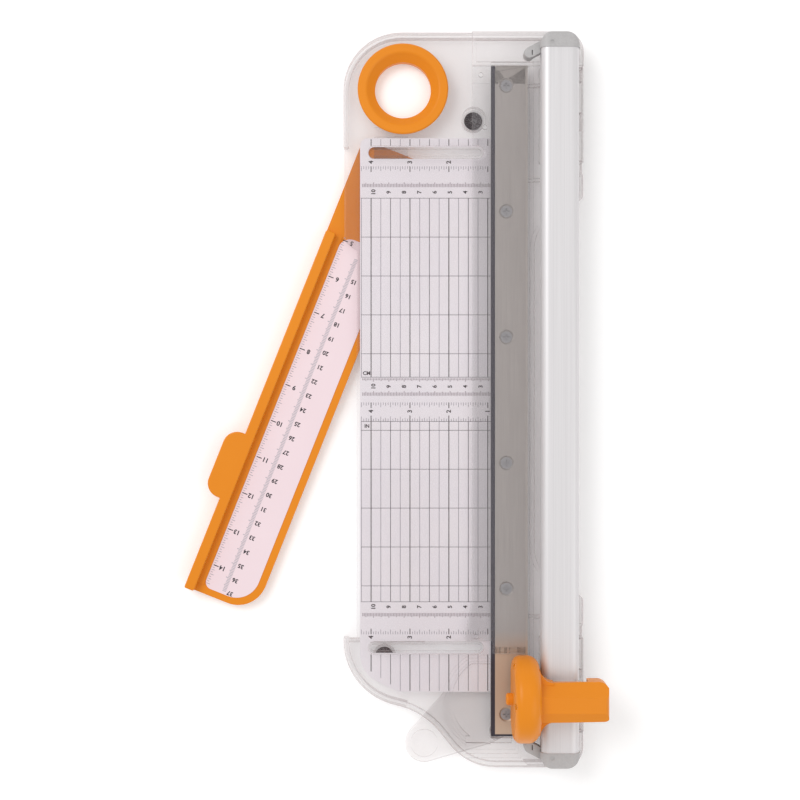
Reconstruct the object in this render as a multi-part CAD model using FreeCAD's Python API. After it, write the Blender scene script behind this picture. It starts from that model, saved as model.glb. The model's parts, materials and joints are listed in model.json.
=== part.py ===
import FreeCAD, Part
import math
import os

os.makedirs("parts", exist_ok=True)

V = FreeCAD.Vector
UP = V(0, 0, 1)
ALONG_X = V(1, 0, 0)
ALONG_Y = V(0, 1, 0)

# Rotary paper trimmer, millimetres. While it is built, X = 0 is the cut line with the rail on
# the +X side, Y = 0 is the middle of the cut and Z = 0 is the table. The finished shapes are
# moved so that the origin is the middle of the footprint.

# ---- driving dimensions: base ----
BASE_LEFT = -119.5
BASE_RIGHT = 36.8
BASE_HALF = 239.7
BASE_FLOOR = 1.0
DECK_TOP = 12.0
SKIN = 2.4
DECK_UNDER = DECK_TOP - SKIN
WALL = 3.2
PLATEAU_TOP = 14.6
NOTCH_X = -111.0
NOTCH_LOW = -155.3
SCOOP_EDGE_X = 32.6
SCOOP_LEFT = 5.0
SCOOP_TOP = 123.0
SCOOP_LOW = -121.0
SCOOP_FLOOR = 5.2
RIB = 2.0

# ---- driving dimensions: what lies on the deck ----
PLATE_LEFT = -20.8
PLATE_RIGHT = 0.45
PLATE_HALF = 217.7
PLATE_THICK = 1.0
BED_LEFT = -23.4
BED_THICK = 0.6
SCREW_X = -13.35
SCREW_Y = (-204.8, -122.9, -41.0, 41.0, 122.9, 204.8)
GROOVE_RIGHT = 1.75
GROOVE_FLOOR = 8.6
FENCE_Y = 161.3
FENCE_WIDTH = 8.1
FENCE_X = (-103.6, -28.0)
FENCE_TOP = 14.5
GUIDE_UNDER = DECK_TOP + 0.6
GUIDE_TOP = 13.8
GUIDE_STUDS = ((-30.0, 212.0), (-27.5, 178.0), (-33.0, -154.3))
LABEL_THICK = 0.3
LABEL_TOP = DECK_UNDER - 0.1
LABEL_LOW = LABEL_TOP - LABEL_THICK
RING_CENTRE = V(-80.8, 202.6, 0)
RING_FLANGE_R = 29.5
RING_BARREL_R = 25.0
RING_HOLE_R = 18.3
FEET_IN_VIEW = ((-34.5, 183.7), (24.0, 228.5), (24.0, -228.5), (-12.0, -150.0))
FEET_UNDER_LABEL = ((-93.0, -168.5), (-58.0, 20.0))
FOOT_PLACES = FEET_IN_VIEW + FEET_UNDER_LABEL
FOOT_R = 5.9
FOOT_BOSS_R = 7.9

# ---- driving dimensions: swing-out ruler arm ----
PIVOT = V(-88.6, 133.5, 0)
ARM_WIDTH = 48.7
ARM_FENCE_SIDE = 30.6
ARM_TIP = 287.0
ARM_TAIL = 28.0
ARM_UNDER = 3.0
ARM_TOP = 7.8
ARM_BOSS_TOP = 6.3
ARM_FENCE_TOP = 14.3
WASHER = 0.4
ARM_OPEN_DEG = 21.7
ARM_FENCE_START = 36.6
ARM_CLEAR_R = 42.5
ARM_RIB = -68.4

# ---- driving dimensions: spare-blade tray ----
TRAY_PIN = V(-19.5, -216.9, 0)
TRAY_BIG = V(-31.6, -202.9, 0)
TRAY_BIG_R = 23.9
TRAY_TIP = V(-66.9, -225.2, 0)
TRAY_TIP_R = 12.4
TRAY_UNDER = 2.0
TRAY_TOP = 5.0
TRAY_MOUTH_START_DEG = 130.0
TRAY_MOUTH_DEG = 182.0

# ---- driving dimensions: rail and its hinge ----
RAIL_LEFT = 7.8
RAIL_RIGHT = 32.1
RAIL_HALF = 225.7
RAIL_UNDER = 18.0
RAIL_TOP = 31.0
GROOVE_Z = (22.2, 24.8)
GROOVE_DEPTH = 1.6
CAP_END = 235.2
HINGE_X = 32.4
HINGE_Z = 8.4
KNUCKLE_R = 3.9
PIN_R = 1.6
HINGE_ZONE = (147.0, 216.5)
BLOCK_ZONE = (153.0, 215.5)
BLOCK_UNDER = 12.4
CAP_SIDES = (7.2, 32.7)
CAP_TOP = 31.6
CAP_LOW = 17.05
CAP_ARM_TOP = 24.0
CAP_ARM_HALF = 3.4
POST_X = 0.6
POST_Y = 223.5
POST_TOP = PLATEAU_TOP

# ---- driving dimensions: cutting carriage ----
CARRIAGE_Y = -190.0
AXLE_Z = 35.3
AXLE_R = 2.5
BLADE_R = 22.5
BLADE_X = (0.55, 0.85)
BLADE_BEVEL = 0.9
HOUSING_R = 27.5
HOUSING_X = (-11.2, 5.6)
HOUSING_SPLIT = -2.4
SCREW_SEAT = HOUSING_X[0] + 2.0
SCREW_RING = 23.4
FLARE_TOP = 47.0
HOUSING_WALL = 2.2
HOUSING_CUT = 18.5
SADDLE_HALF = 12.1
COVER_ROUND = 5.0
SHELL_ROUND = 7.5
SADDLE_UNDER = 40.0
SADDLE_RIGHT = 50.1
GRIP_LOW = 28.4
GRIP_LEFT = 36.4
CROWN = (54.47, -0.093, 0.0)
UPPER_FACET = (59.99, -0.142, -1.056)
LOWER_FACET = (57.9, -0.079, 0.662)
ROOF = 2.4
SKIRT = 2.1
GLIDE_HALF = 9.4
GLIDE_TOP = 34.3
SPRING_R = 3.2
SPRING_WIRE = 0.45
GUIDE_POST_TOP = 44.0
SPRING_SEAT = 40.6
PRESS_TRAVEL = 3.0
KNOB_LEFT = -15.4

RUN_FIT = 0.05

nodes = {}


# ---- helpers ----
def box(x0, x1, y0, y1, z0, z1):
    """An upright box between two corners."""
    return Part.makeBox(x1 - x0, y1 - y0, z1 - z0, V(x0, y0, z0))


def disc(centre, radius, z0, z1):
    """An upright cylinder at a place in plan."""
    return Part.makeCylinder(radius, z1 - z0, V(centre.x, centre.y, z0), UP)


def rod_x(x0, x1, y, z, radius):
    """A cylinder that lies along X."""
    return Part.makeCylinder(radius, x1 - x0, V(x0, y, z), ALONG_X)


def rod_y(x, y0, y1, z, radius):
    """A cylinder that lies along Y."""
    return Part.makeCylinder(radius, y1 - y0, V(x, y0, z), ALONG_Y)


def rounded_wire(corners):
    """A closed wire through (point, radius) corners, each rounded by a tangent arc."""
    edges = []
    previous_end = None
    first_start = None
    count = len(corners)
    for index, (point, radius) in enumerate(corners):
        before = corners[index - 1][0]
        after = corners[(index + 1) % count][0]
        back = (before - point).normalize()
        ahead = (after - point).normalize()
        half_angle = back.getAngle(ahead) / 2
        reach = radius / math.tan(half_angle) if radius else 0
        start = point + back * reach
        end = point + ahead * reach
        if previous_end is None:
            first_start = start
        elif (start - previous_end).Length > 1e-6:
            edges.append(Part.makeLine(previous_end, start))
        if radius:
            bisector = (back + ahead).normalize()
            middle = point + bisector * (radius / math.sin(half_angle) - radius)
            edges.append(Part.Arc(start, middle, end).toShape())
        previous_end = end
    if (first_start - previous_end).Length > 1e-6:
        edges.append(Part.makeLine(previous_end, first_start))
    return Part.Wire(edges)


def plan(corners, z0, z1):
    """A prism over an outline in plan, given as (x, y, corner radius)."""
    wire = rounded_wire([(V(x, y, z0), radius) for x, y, radius in corners])
    return Part.Face(wire).extrude(V(0, 0, z1 - z0))


def side(corners, y0, y1):
    """A prism along Y over an outline in the XZ plane, given as (x, z, corner radius)."""
    wire = rounded_wire([(V(x, y0, z), radius) for x, z, radius in corners])
    return Part.Face(wire).extrude(V(0, y1 - y0, 0))


def rounded_box(x0, x1, y0, y1, z0, z1, radius):
    """An upright box with its four upright edges rounded."""
    return plan([(x0, y0, radius), (x1, y0, radius), (x1, y1, radius), (x0, y1, radius)], z0, z1)


def turned(profile, centre):
    """A solid of revolution about an upright axis, from (radius, height) points."""
    points = [V(centre.x + r, centre.y, z) for r, z in profile]
    face = Part.Face(Part.makePolygon(points + points[:1]))
    return face.revolve(V(centre.x, centre.y, 0), UP, 360)


def soften(shape, edges, radius):
    """Round some edges of a solid."""
    return shape.makeFillet(radius, edges)


def edges_at(shape, z):
    """The edges that lie wholly in one level plane."""
    return [e for e in shape.Edges if abs(e.BoundBox.ZMin - z) < 1e-4 and abs(e.BoundBox.ZMax - z) < 1e-4]


def joined(pieces):
    """One solid from overlapping pieces."""
    whole = pieces[0].multiFuse(pieces[1:]) if len(pieces) > 1 else pieces[0]
    return whole.removeSplitter()


def keep(name, shape):
    """Check a node's shape and store it under its name."""
    if not shape.isValid():
        print("not valid:", name)
    nodes[name] = shape


# ---- base tray: one clear moulding, open underneath ----
FOOTPRINT = [
    (BASE_LEFT, BASE_HALF, 37.5),
    (BASE_RIGHT, BASE_HALF, 13.0),
    (BASE_RIGHT, 132.0, 2.5),
    (SCOOP_EDGE_X, 128.0, 2.5),
    (SCOOP_EDGE_X, -125.5, 2.5),
    (BASE_RIGHT, -129.5, 2.5),
    (BASE_RIGHT, -BASE_HALF, 13.0),
    (-38.1, -BASE_HALF, 38.0),
    (-67.5, -203.3, 50.0),
    (BASE_LEFT, -191.2, 43.0),
]


def inset_prism(shape_bottom, inset, z0, z1):
    """The footprint drawn in by a wall's thickness, as a prism."""
    face = shape_bottom.makeOffset2D(-inset)
    face.translate(V(0, 0, z0 - face.BoundBox.ZMin))
    return face.extrude(V(0, 0, z1 - z0))


def fence_rib(y, grow, z0, z1):
    """A long rib with round ends, or the slot that clears it."""
    half = FENCE_WIDTH / 2 + grow
    return rounded_box(FENCE_X[0] - grow, FENCE_X[1] + grow, y - half, y + half, z0, z1, half - 0.01)


def tray_sweep(grow, z0, z1):
    """The space that the spare-blade tray needs while it swings out."""
    reach = TRAY_TIP.distanceToPoint(TRAY_PIN) + TRAY_TIP_R + grow
    sector = Part.makeCylinder(reach, z1 - z0, V(TRAY_PIN.x, TRAY_PIN.y, z0), UP, TRAY_MOUTH_DEG)
    sector.rotate(V(TRAY_PIN.x, TRAY_PIN.y, z0), UP, TRAY_MOUTH_START_DEG)
    return joined([sector, disc(TRAY_BIG, TRAY_BIG_R + grow, z0, z1), disc(TRAY_PIN, 8.0 + grow, z0, z1)])


def lobe(shrink, z0, z1):
    """One terrace of the raised lobe over the spare-blade tray and the band beside it."""
    round_part = disc(V(-20.5, -196.0, 0), 34.5 - shrink, z0, z1)
    round_part = round_part.common(box(-80.0, BED_LEFT - 0.4, -240.0, -166.0 - shrink, z0, z1))
    band = box(-40.0, -4.0 - shrink, -233.0 + 1.6 * shrink, -219.0, z0, z1)
    band = band.cut(box(BED_LEFT - 0.4, 10.0, -219.2, -200.0, z0 - 1, z1 + 1))
    return joined([round_part, band])


def hinge_zones(grow, z0, z1, x0):
    """The two places at the right edge that the rail's hinges take up."""
    low, high = HINGE_ZONE
    upper = box(x0, BASE_RIGHT + 4.0, low - grow, high + grow, z0, z1)
    lower = box(x0, BASE_RIGHT + 4.0, -high - grow, -low + grow, z0, z1)
    return [upper, lower]


def knuckle_spans(side_sign):
    """Where the base's three knuckles and the block's two stand along the hinge."""
    fixed = [(147.0, 155.8), (176.0, 187.0), (207.7, 216.5)]
    moving = [(156.0, 175.8), (187.2, 207.5)]
    if side_sign > 0:
        return fixed, moving
    return [(-b, -a) for a, b in fixed], [(-b, -a) for a, b in moving]


def label_ribs():
    """Ribs that carry the label: they stop under it, and join the plate boss and the walls."""
    low = NOTCH_LOW - 1 - RIB
    ribs = [box(ARM_RIB, ARM_RIB + RIB, low, 96.0, BASE_FLOOR, LABEL_LOW)]
    ribs.append(box(-118.0, ARM_RIB + 2.0, low, low + RIB, BASE_FLOOR, LABEL_LOW))
    ribs.append(box(-118.0, -109.4, low, low + RIB, BASE_FLOOR, DECK_UNDER + 1))
    for y in (-110.0, -45.0, 19.0, 85.0):
        ribs.append(box(ARM_RIB + 1.2, BED_LEFT + 1, y, y + RIB, 3.0, LABEL_LOW))
    ribs += [disc(V(x, y, 0), FOOT_BOSS_R, BASE_FLOOR, LABEL_LOW) for x, y in FEET_UNDER_LABEL]
    ribs.append(box(-94.0, -92.0, -170.0, low + 1, BASE_FLOOR, LABEL_LOW))
    return ribs


def make_base_tray():
    """Deck, walls, ribs, bosses, plateaus, fences and the base's half of the rail hinge."""
    wire = rounded_wire([(V(x, y, BASE_FLOOR), radius) for x, y, radius in FOOTPRINT])
    bottom = Part.Face(wire)
    body = bottom.extrude(V(0, 0, DECK_TOP - BASE_FLOOR))
    body = soften(body, edges_at(body, DECK_TOP), 1.8)

    hollow = inset_prism(bottom, WALL, BASE_FLOOR - 1, DECK_UNDER)

    # material that stays inside the hollow
    plate_boss = box(BED_LEFT + 0.2, SCOOP_LEFT - 0.5, -221.0, 221.0, 6.2, DECK_UNDER + 1)
    scoop_outer = scoop_prism(SKIN, SCOOP_FLOOR - SKIN, DECK_UNDER + 1)
    kept = [plate_boss, scoop_outer]
    kept += [disc(V(x, y, 0), FOOT_BOSS_R, BASE_FLOOR, DECK_UNDER + 1) for x, y in FEET_IN_VIEW]
    kept += label_ribs()
    for y in (-205.0, -143.0, 143.0, 205.0):
        kept.append(box(-4.0, 27.0, y, y + RIB, 3.0, DECK_UNDER + 1))
    kept += hinge_zones(SKIN, BASE_FLOOR, DECK_UNDER + 1, 25.4)
    kept.append(disc(RING_CENTRE, RING_BARREL_R + 2.1, BASE_FLOOR, DECK_UNDER + 1))
    kept.append(disc(TRAY_PIN, 4.5, TRAY_TOP + 0.3, DECK_UNDER + 1))
    clear_of_tray = tray_sweep(0.8, BASE_FLOOR - 1, TRAY_TOP + 0.3)
    hollow = hollow.cut(kept)
    body = body.cut(hollow).cut(clear_of_tray)

    # raised plateaus, hollow below
    top_block = bottom.extrude(V(0, 0, PLATEAU_TOP - BASE_FLOOR))
    top_block = top_block.common(box(-35.8, 60.0, 217.5, 260.0, DECK_TOP - 1, PLATEAU_TOP))
    body = body.fuse(soften(top_block, edges_at(top_block, PLATEAU_TOP), 1.2))
    body = body.cut(box(-33.0, 31.0, 220.5, 234.5, DECK_UNDER - 0.5, PLATEAU_TOP - SKIN))
    for level, shrink in enumerate((0.0, 1.9, 3.8)):
        body = body.fuse(lobe(shrink, DECK_TOP - 0.5, DECK_TOP + 0.87 * (level + 1)))
    body = body.cut(lobe(6.0, DECK_UNDER - 0.5, DECK_TOP + 0.4))

    # fences for squaring the paper
    for y in (-FENCE_Y, FENCE_Y):
        rib = fence_rib(y, 0, DECK_TOP - 0.5, FENCE_TOP)
        body = body.fuse(soften(rib, edges_at(rib, FENCE_TOP), 0.8))
        body = body.cut(fence_rib(y, -SKIN + 0.6, DECK_UNDER - 0.5, FENCE_TOP - SKIN + 0.4))

    # finger scoop, plate seat, blade groove
    body = body.cut(scoop_prism(0, SCOOP_FLOOR, DECK_TOP + 5))
    seat_floor = DECK_TOP - PLATE_THICK - BED_THICK
    body = body.cut(box(BED_LEFT, PLATE_RIGHT, -219.0, 217.8, seat_floor, DECK_TOP + 5))
    body = body.cut(box(PLATE_RIGHT - 0.2, GROOVE_RIGHT, -217.5, 217.4, GROOVE_FLOOR, DECK_TOP + 5))

    # hang-ring hole, arm exit, notch, tray mouth
    body = body.cut(disc(RING_CENTRE, RING_BARREL_R, 0, DECK_TOP + 5))
    body = body.cut(disc(PIVOT, ARM_CLEAR_R, 0, DECK_UNDER))
    body = body.cut(box(-125.0, ARM_RIB, -120.0, PIVOT.y, 0, DECK_UNDER))
    body = body.cut(box(-125.0, -108.0, NOTCH_LOW, 165.0, 0, DECK_UNDER))
    body = body.cut(box(-125.0, ARM_RIB, PIVOT.y, 165.0, 0, DECK_UNDER).common(disc(PIVOT, 60.0, 0, 12)))
    edge_notch = box(-125.0, NOTCH_X, NOTCH_LOW, 104.0, 0, DECK_TOP + 5)
    body = body.cut(edge_notch.cut(disc(PIVOT, ARM_CLEAR_R, -1, DECK_TOP + 6)))
    body = body.cut(box(-125.0, -118.9, 100.0, 165.0, 0, DECK_TOP + 5))

    # the bridge and boss that the arm hangs from, under the label, and the boss for the tray
    body = body.fuse(box(PIVOT.x - 11, PIVOT.x + 11, PIVOT.y, 178.0, ARM_TOP + 0.2, LABEL_LOW))
    body = body.fuse(box(PIVOT.x - 11, PIVOT.x + 11, 172.0, 178.0, ARM_TOP + 0.2, DECK_UNDER + 0.5))
    body = body.fuse(disc(PIVOT, 7.0, ARM_BOSS_TOP + 0.2, LABEL_LOW))
    body = body.fuse(disc(TRAY_PIN, 4.5, TRAY_TOP + 0.2, 7.0))

    # rail rests and the base's hinge knuckles
    for sign in (-1, 1):
        body = body.fuse(disc(V(POST_X, sign * POST_Y, 0), 3.0, DECK_TOP - 0.5, POST_TOP))
    for zone in hinge_zones(0, -1, DECK_TOP + 5, 27.8):
        body = body.cut(zone)
    for sign in (-1, 1):
        fixed, moving = knuckle_spans(sign)
        for y0, y1 in fixed:
            web = box(26.5, HINGE_X, y0, y1, HINGE_Z - KNUCKLE_R, HINGE_Z + KNUCKLE_R - 0.5)
            body = body.fuse(joined([web, rod_y(HINGE_X, y0, y1, HINGE_Z, KNUCKLE_R)]))

    # bores for the feet, screws, pins and the guide's studs
    bores = [disc(V(x, y, 0), 2.4, 0, 5.0) for x, y in FOOT_PLACES]
    bores += [plate_screw(y, 0) for y in SCREW_Y]
    bores.append(disc(PIVOT, 1.5, ARM_BOSS_TOP, LABEL_LOW - 0.2))
    bores.append(disc(TRAY_PIN, 1.2, TRAY_TOP, 9.0))
    bores += [rod_y(HINGE_X, -220.0, -140.0, HINGE_Z, PIN_R), rod_y(HINGE_X, 140.0, 220.0, HINGE_Z, PIN_R)]
    bores += [disc(V(x, y, 0), 1.5, 8.0, DECK_TOP + 1) for x, y in GUIDE_STUDS]
    keep("base_tray", body.cut(bores).removeSplitter())


def scoop_prism(grow, z0, z1):
    """The D-shaped finger scoop below the rail, open to the right edge."""
    left = SCOOP_LEFT - grow
    right = BASE_RIGHT + 20.0
    low = SCOOP_LOW - grow
    high = SCOOP_TOP + grow
    radius = 24.0 + grow
    return plan([(left, low, radius), (right, low, 0), (right, high, 0), (left, high, radius)], z0, z1)


# ---- cutting plate, its bed and its screws ----
def plate_screw(y, shrink):
    """A countersunk screw's outline: cone head and shank."""
    head_low = DECK_TOP - PLATE_THICK - BED_THICK - 0.4
    head_top = DECK_TOP + 0.5 if shrink == 0 else DECK_TOP - 0.7
    slope = 1.4
    low_r = 2.0
    top_r = low_r + slope * (head_top - head_low)
    head = Part.makeCone(low_r - shrink, top_r - shrink, head_top - head_low, V(SCREW_X, y, head_low), UP)
    shank = disc(V(SCREW_X, y, 0), 1.5, 6.6, head_low + 0.2)
    return head.fuse(shank)


def phillips(centre, z, size, depth):
    """A cross recess in a screw head."""
    slot = 0.26 * size
    first = box(centre.x - size, centre.x + size, centre.y - slot, centre.y + slot, z - depth, z + 1)
    second = box(centre.x - slot, centre.x + slot, centre.y - size, centre.y + size, z - depth, z + 1)
    return first.fuse(second)


def make_plate():
    """Steel plate flush with the deck, the dark bed under it, and six screws."""
    plate_low = DECK_TOP - PLATE_THICK
    bed_low = plate_low - BED_THICK
    cones = [plate_screw(y, 0) for y in SCREW_Y]
    plate = box(PLATE_LEFT, PLATE_RIGHT, -PLATE_HALF, PLATE_HALF, plate_low, DECK_TOP)
    keep("cutting_plate", plate.cut(cones))
    bed = box(BED_LEFT, PLATE_RIGHT - 0.25, -219.0, 217.8, bed_low, plate_low)
    left_lip = box(BED_LEFT, PLATE_LEFT - 0.05, -219.0, 217.8, plate_low - 0.1, DECK_TOP - 0.15)
    low_lip = box(BED_LEFT, PLATE_RIGHT - 0.25, -219.0, -PLATE_HALF - 0.05, plate_low - 0.1, DECK_TOP - 0.15)
    keep("plate_bed", joined([bed, left_lip, low_lip]).cut(cones))
    screws = []
    for y in SCREW_Y:
        screws.append(plate_screw(y, RUN_FIT).cut(phillips(V(SCREW_X, y, 0), DECK_TOP - 0.7, 2.0, 0.9)))
    keep("plate_screws", Part.makeCompound(screws))


# ---- printed grid label under the deck ----
def make_grid_label():
    """A thin printed sheet bonded to the underside of the clear deck."""
    outline = [
        (-108.8, 171.0, 5.0),
        (-23.5, 171.0, 1.0),
        (-23.5, -190.6, 2.0),
        (-84.0, -190.6, 12.0),
        (-108.8, -178.5, 20.0),
    ]
    sheet = plan(outline, LABEL_LOW, LABEL_TOP)
    windows = [fence_rib(y, -0.2, LABEL_LOW - 1, LABEL_TOP + 1) for y in (-FENCE_Y, FENCE_Y)]
    keep("grid_label", sheet.cut(windows))


# ---- clear paper guide along the cut line ----


def make_paper_guide():
    """A clear strip held just above the plate, so that paper slides under it."""
    outline = [
        (-35.8, 217.2, 0),
        (-1.2, 217.2, 0),
        (-1.2, -165.2, 2.0),
        (-22.4, -165.2, 1.5),
        (-22.4, -156.7, 1.0),
        (-41.2, -156.7, 2.0),
        (-36.1, -130.0, 12.0),
    ]
    strip = plan(outline, GUIDE_UNDER, GUIDE_TOP)
    strip = soften(strip, edges_at(strip, GUIDE_TOP), 0.35)
    thin_edge = box(-11.4, 0.0, -170.0, 220.0, GUIDE_TOP - 0.35, GUIDE_TOP + 1)
    strip = strip.cut(thin_edge)
    for y0, y1 in ((156.3, 165.7), (-163.2, -155.2)):
        strip = strip.fuse(box(-20.8, -11.4, y0, y1, GUIDE_TOP - 0.4, GUIDE_TOP + 0.3))
    strip = strip.cut(fence_rib(FENCE_Y, 0.4, DECK_TOP, FENCE_TOP + 1))
    pads = [box(-35.8, -1.2, 206.0, 217.2, DECK_TOP, GUIDE_UNDER + 0.2)]
    pads += [disc(V(x, y, 0), 2.2, DECK_TOP, GUIDE_UNDER + 0.2) for x, y in GUIDE_STUDS[1:]]
    pads.append(box(-22.4, -1.2, -164.9, -161.0, DECK_TOP, GUIDE_UNDER + 0.2))
    studs = [disc(V(x, y, 0), 1.5, 9.7, GUIDE_UNDER + 0.2) for x, y in GUIDE_STUDS]
    keep("paper_guide", joined([strip] + pads + studs))


# ---- hang ring, feet ----
def make_hang_ring():
    """A funnel-shaped ring that lines the hole the trimmer hangs by."""
    flange_low = DECK_TOP
    profile = [
        (RING_HOLE_R, 3.0),
        (RING_BARREL_R, 3.0),
        (RING_BARREL_R, flange_low),
        (RING_FLANGE_R, flange_low),
        (RING_FLANGE_R, flange_low + 0.7),
        (RING_FLANGE_R - 0.8, flange_low + 1.4),
        (RING_BARREL_R - 0.6, flange_low + 1.4),
        (RING_BARREL_R - 1.6, flange_low + 0.9),
        (RING_HOLE_R, 8.0),
    ]
    keep("hang_ring", turned(profile, RING_CENTRE))


def make_feet():
    """Rubber feet pressed into the bosses."""
    feet = []
    for x, y in FOOT_PLACES:
        pad = Part.makeCone(FOOT_R - 0.5, FOOT_R, BASE_FLOOR, V(x, y, 0), UP)
        feet.append(pad.fuse(disc(V(x, y, 0), 2.4, BASE_FLOOR - 0.2, 5.0)))
    keep("rubber_feet", Part.makeCompound(feet))


# ---- ruler arm ----
def arm_plan(corners, z0, z1):
    """An outline in the arm's own terms (from fence edge, from pivot), drawn as if stowed."""
    placed = [(PIVOT.x - ARM_FENCE_SIDE + across, PIVOT.y - along, r) for across, along, r in corners]
    return plan(placed, z0, z1)


def opened(shape):
    """Swing a piece of the arm from stowed to its resting place."""
    turned_copy = shape.copy()
    turned_copy.rotate(PIVOT, UP, -ARM_OPEN_DEG)
    return turned_copy


def make_ruler_arm():
    """The swing-out arm: a hollow moulding with a raised fence along its outer edge and a pull tab."""
    outline = [
        (0.0, -ARM_TAIL, 6.0),
        (ARM_WIDTH, -ARM_TAIL, 6.0),
        (ARM_WIDTH, ARM_TIP, 19.0),
        (0.0, ARM_TIP, 1.0),
    ]
    body = arm_plan(outline, ARM_UNDER, ARM_TOP)
    far = ARM_WIDTH - 2.0
    inner = [(2.0, -26.0, 4.0), (far, -26.0, 4.0), (far, ARM_TIP - 2.0, 17.0), (2.0, ARM_TIP - 2.0, 1.0)]
    hollow = arm_plan(inner, ARM_UNDER - 1, ARM_TOP - 1.8)
    ribs = [disc(PIVOT, 8.5, ARM_UNDER - 1, ARM_TOP)]
    ribs.append(arm_plan([(21.0, 0.0, 0), (22.6, 0.0, 0), (22.6, ARM_TIP, 0), (21.0, ARM_TIP, 0)], 0, 9))
    for along in range(48, 280, 46):
        span = [(0.0, along, 0), (ARM_WIDTH, along, 0), (ARM_WIDTH, along + 1.6, 0), (0.0, along + 1.6, 0)]
        ribs.append(arm_plan(span, 0, 9))
    body = body.cut(hollow.cut(ribs))
    start = ARM_FENCE_START
    fence = [(0.0, start, 1.5), (6.6, start, 1.5), (6.6, ARM_TIP, 1.2), (0.0, ARM_TIP, 1.0)]
    tab = [(-11.4, 179.6, 9.5), (4.0, 179.6, 0), (4.0, 224.4, 0), (-11.4, 224.4, 9.5)]
    lip = arm_plan(tab, ARM_FENCE_TOP - 3.0, ARM_FENCE_TOP)
    raised = joined([arm_plan(fence, ARM_TOP - 0.5, ARM_FENCE_TOP), lip])
    raised = soften(raised, edges_at(raised, ARM_FENCE_TOP), 0.8)
    step_end = ARM_TIP - 5.5
    step = [(5.0, start, 0), (11.0, start, 1.0), (11.0, step_end, 1.0), (5.0, step_end, 0)]
    body = body.fuse([raised, arm_plan(step, ARM_TOP - 0.5, ARM_TOP + 0.7)])
    body = body.cut([disc(PIVOT, 3.0 + RUN_FIT, 0, 12), disc(PIVOT, 7.5, ARM_BOSS_TOP, 12)])
    keep("ruler_arm", opened(body.removeSplitter()))

    sheet = [(11.1, 35.8, 8.0), (43.8, 35.8, 5.0), (43.8, 282.6, 15.5), (11.1, 282.6, 5.0)]
    keep("arm_label", opened(arm_plan(sheet, ARM_TOP, ARM_TOP + LABEL_THICK)))

    washer_low = ARM_UNDER - WASHER
    shoulder = disc(PIVOT, 3.0, washer_low, ARM_BOSS_TOP + 0.2)
    thread = disc(PIVOT, 1.5, ARM_BOSS_TOP, LABEL_LOW - 0.2)
    head = disc(PIVOT, 5.6, 0.9, washer_low).cut(phillips_below(PIVOT, 0.9, 2.6, 1.1))
    keep("arm_pivot_screw", joined([shoulder, thread, head]))
    keep("arm_washer", disc(PIVOT, 7.5, washer_low, ARM_UNDER).cut(disc(PIVOT, 3.0, 2, 4)))


def phillips_below(centre, z, size, depth):
    """A cross recess in a head that faces down."""
    slot = 0.26 * size
    first = box(centre.x - size, centre.x + size, centre.y - slot, centre.y + slot, z - 1, z + depth)
    second = box(centre.x - slot, centre.x + slot, centre.y - size, centre.y + size, z - 1, z + depth)
    return first.fuse(second)


# ---- spare-blade tray ----
def make_blade_tray():
    """A clear teardrop drawer that swings out under the lobe and holds a spare blade."""
    pieces = [disc(TRAY_BIG, TRAY_BIG_R, TRAY_UNDER, TRAY_TOP)]
    pieces.append(disc(TRAY_TIP, TRAY_TIP_R, TRAY_UNDER, TRAY_TOP))
    pieces.append(disc(TRAY_PIN, 6.0, TRAY_UNDER, TRAY_TOP))
    pieces.append(belt(TRAY_BIG, TRAY_BIG_R, TRAY_TIP, TRAY_TIP_R))
    body = joined(pieces)
    pocket = disc(TRAY_BIG, BLADE_R + 0.4, TRAY_UNDER + 1.2, TRAY_TOP + 1)
    body = body.cut(pocket.cut(disc(TRAY_PIN, 6.0, 0, 9)))
    body = body.cut(disc(TRAY_TIP, 9.0, TRAY_UNDER + 1.2, TRAY_TOP + 1))
    body = body.cut(disc(TRAY_PIN, 2.4 + RUN_FIT, 0, 9))
    keep("blade_tray", body)
    pin = [disc(TRAY_PIN, 2.4, 1.9, TRAY_TOP + 0.2), disc(TRAY_PIN, 1.2, TRAY_TOP, 9.0)]
    pin.append(disc(TRAY_PIN, 4.2, 0.9, TRAY_UNDER - 0.1).cut(phillips_below(TRAY_PIN, 0.9, 1.8, 0.7)))
    keep("tray_screw", joined(pin))


def belt(first, first_r, second, second_r):
    """The straight-sided web between two discs, along their common tangents."""
    gap = second - first
    lean = math.acos((first_r - second_r) / gap.Length)
    bearing = math.atan2(gap.y, gap.x)
    corners = []
    ends = ((first, first_r, 1), (first, first_r, -1), (second, second_r, -1), (second, second_r, 1))
    for centre, radius, sign in ends:
        angle = bearing + sign * lean
        corners.append((centre.x + radius * math.cos(angle), centre.y + radius * math.sin(angle), 0))
    return plan(corners, TRAY_UNDER, TRAY_TOP)


# ---- rail and hinge blocks ----
def rail_section(grow):
    """The rail's rounded outline, seen along its length."""
    return [
        (RAIL_LEFT - grow, RAIL_UNDER - grow, 1.2),
        (RAIL_RIGHT + grow, RAIL_UNDER - grow, 1.2),
        (RAIL_RIGHT + grow, RAIL_TOP + grow, 5.0),
        (RAIL_LEFT - grow, RAIL_TOP + grow, 5.0),
    ]


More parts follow.
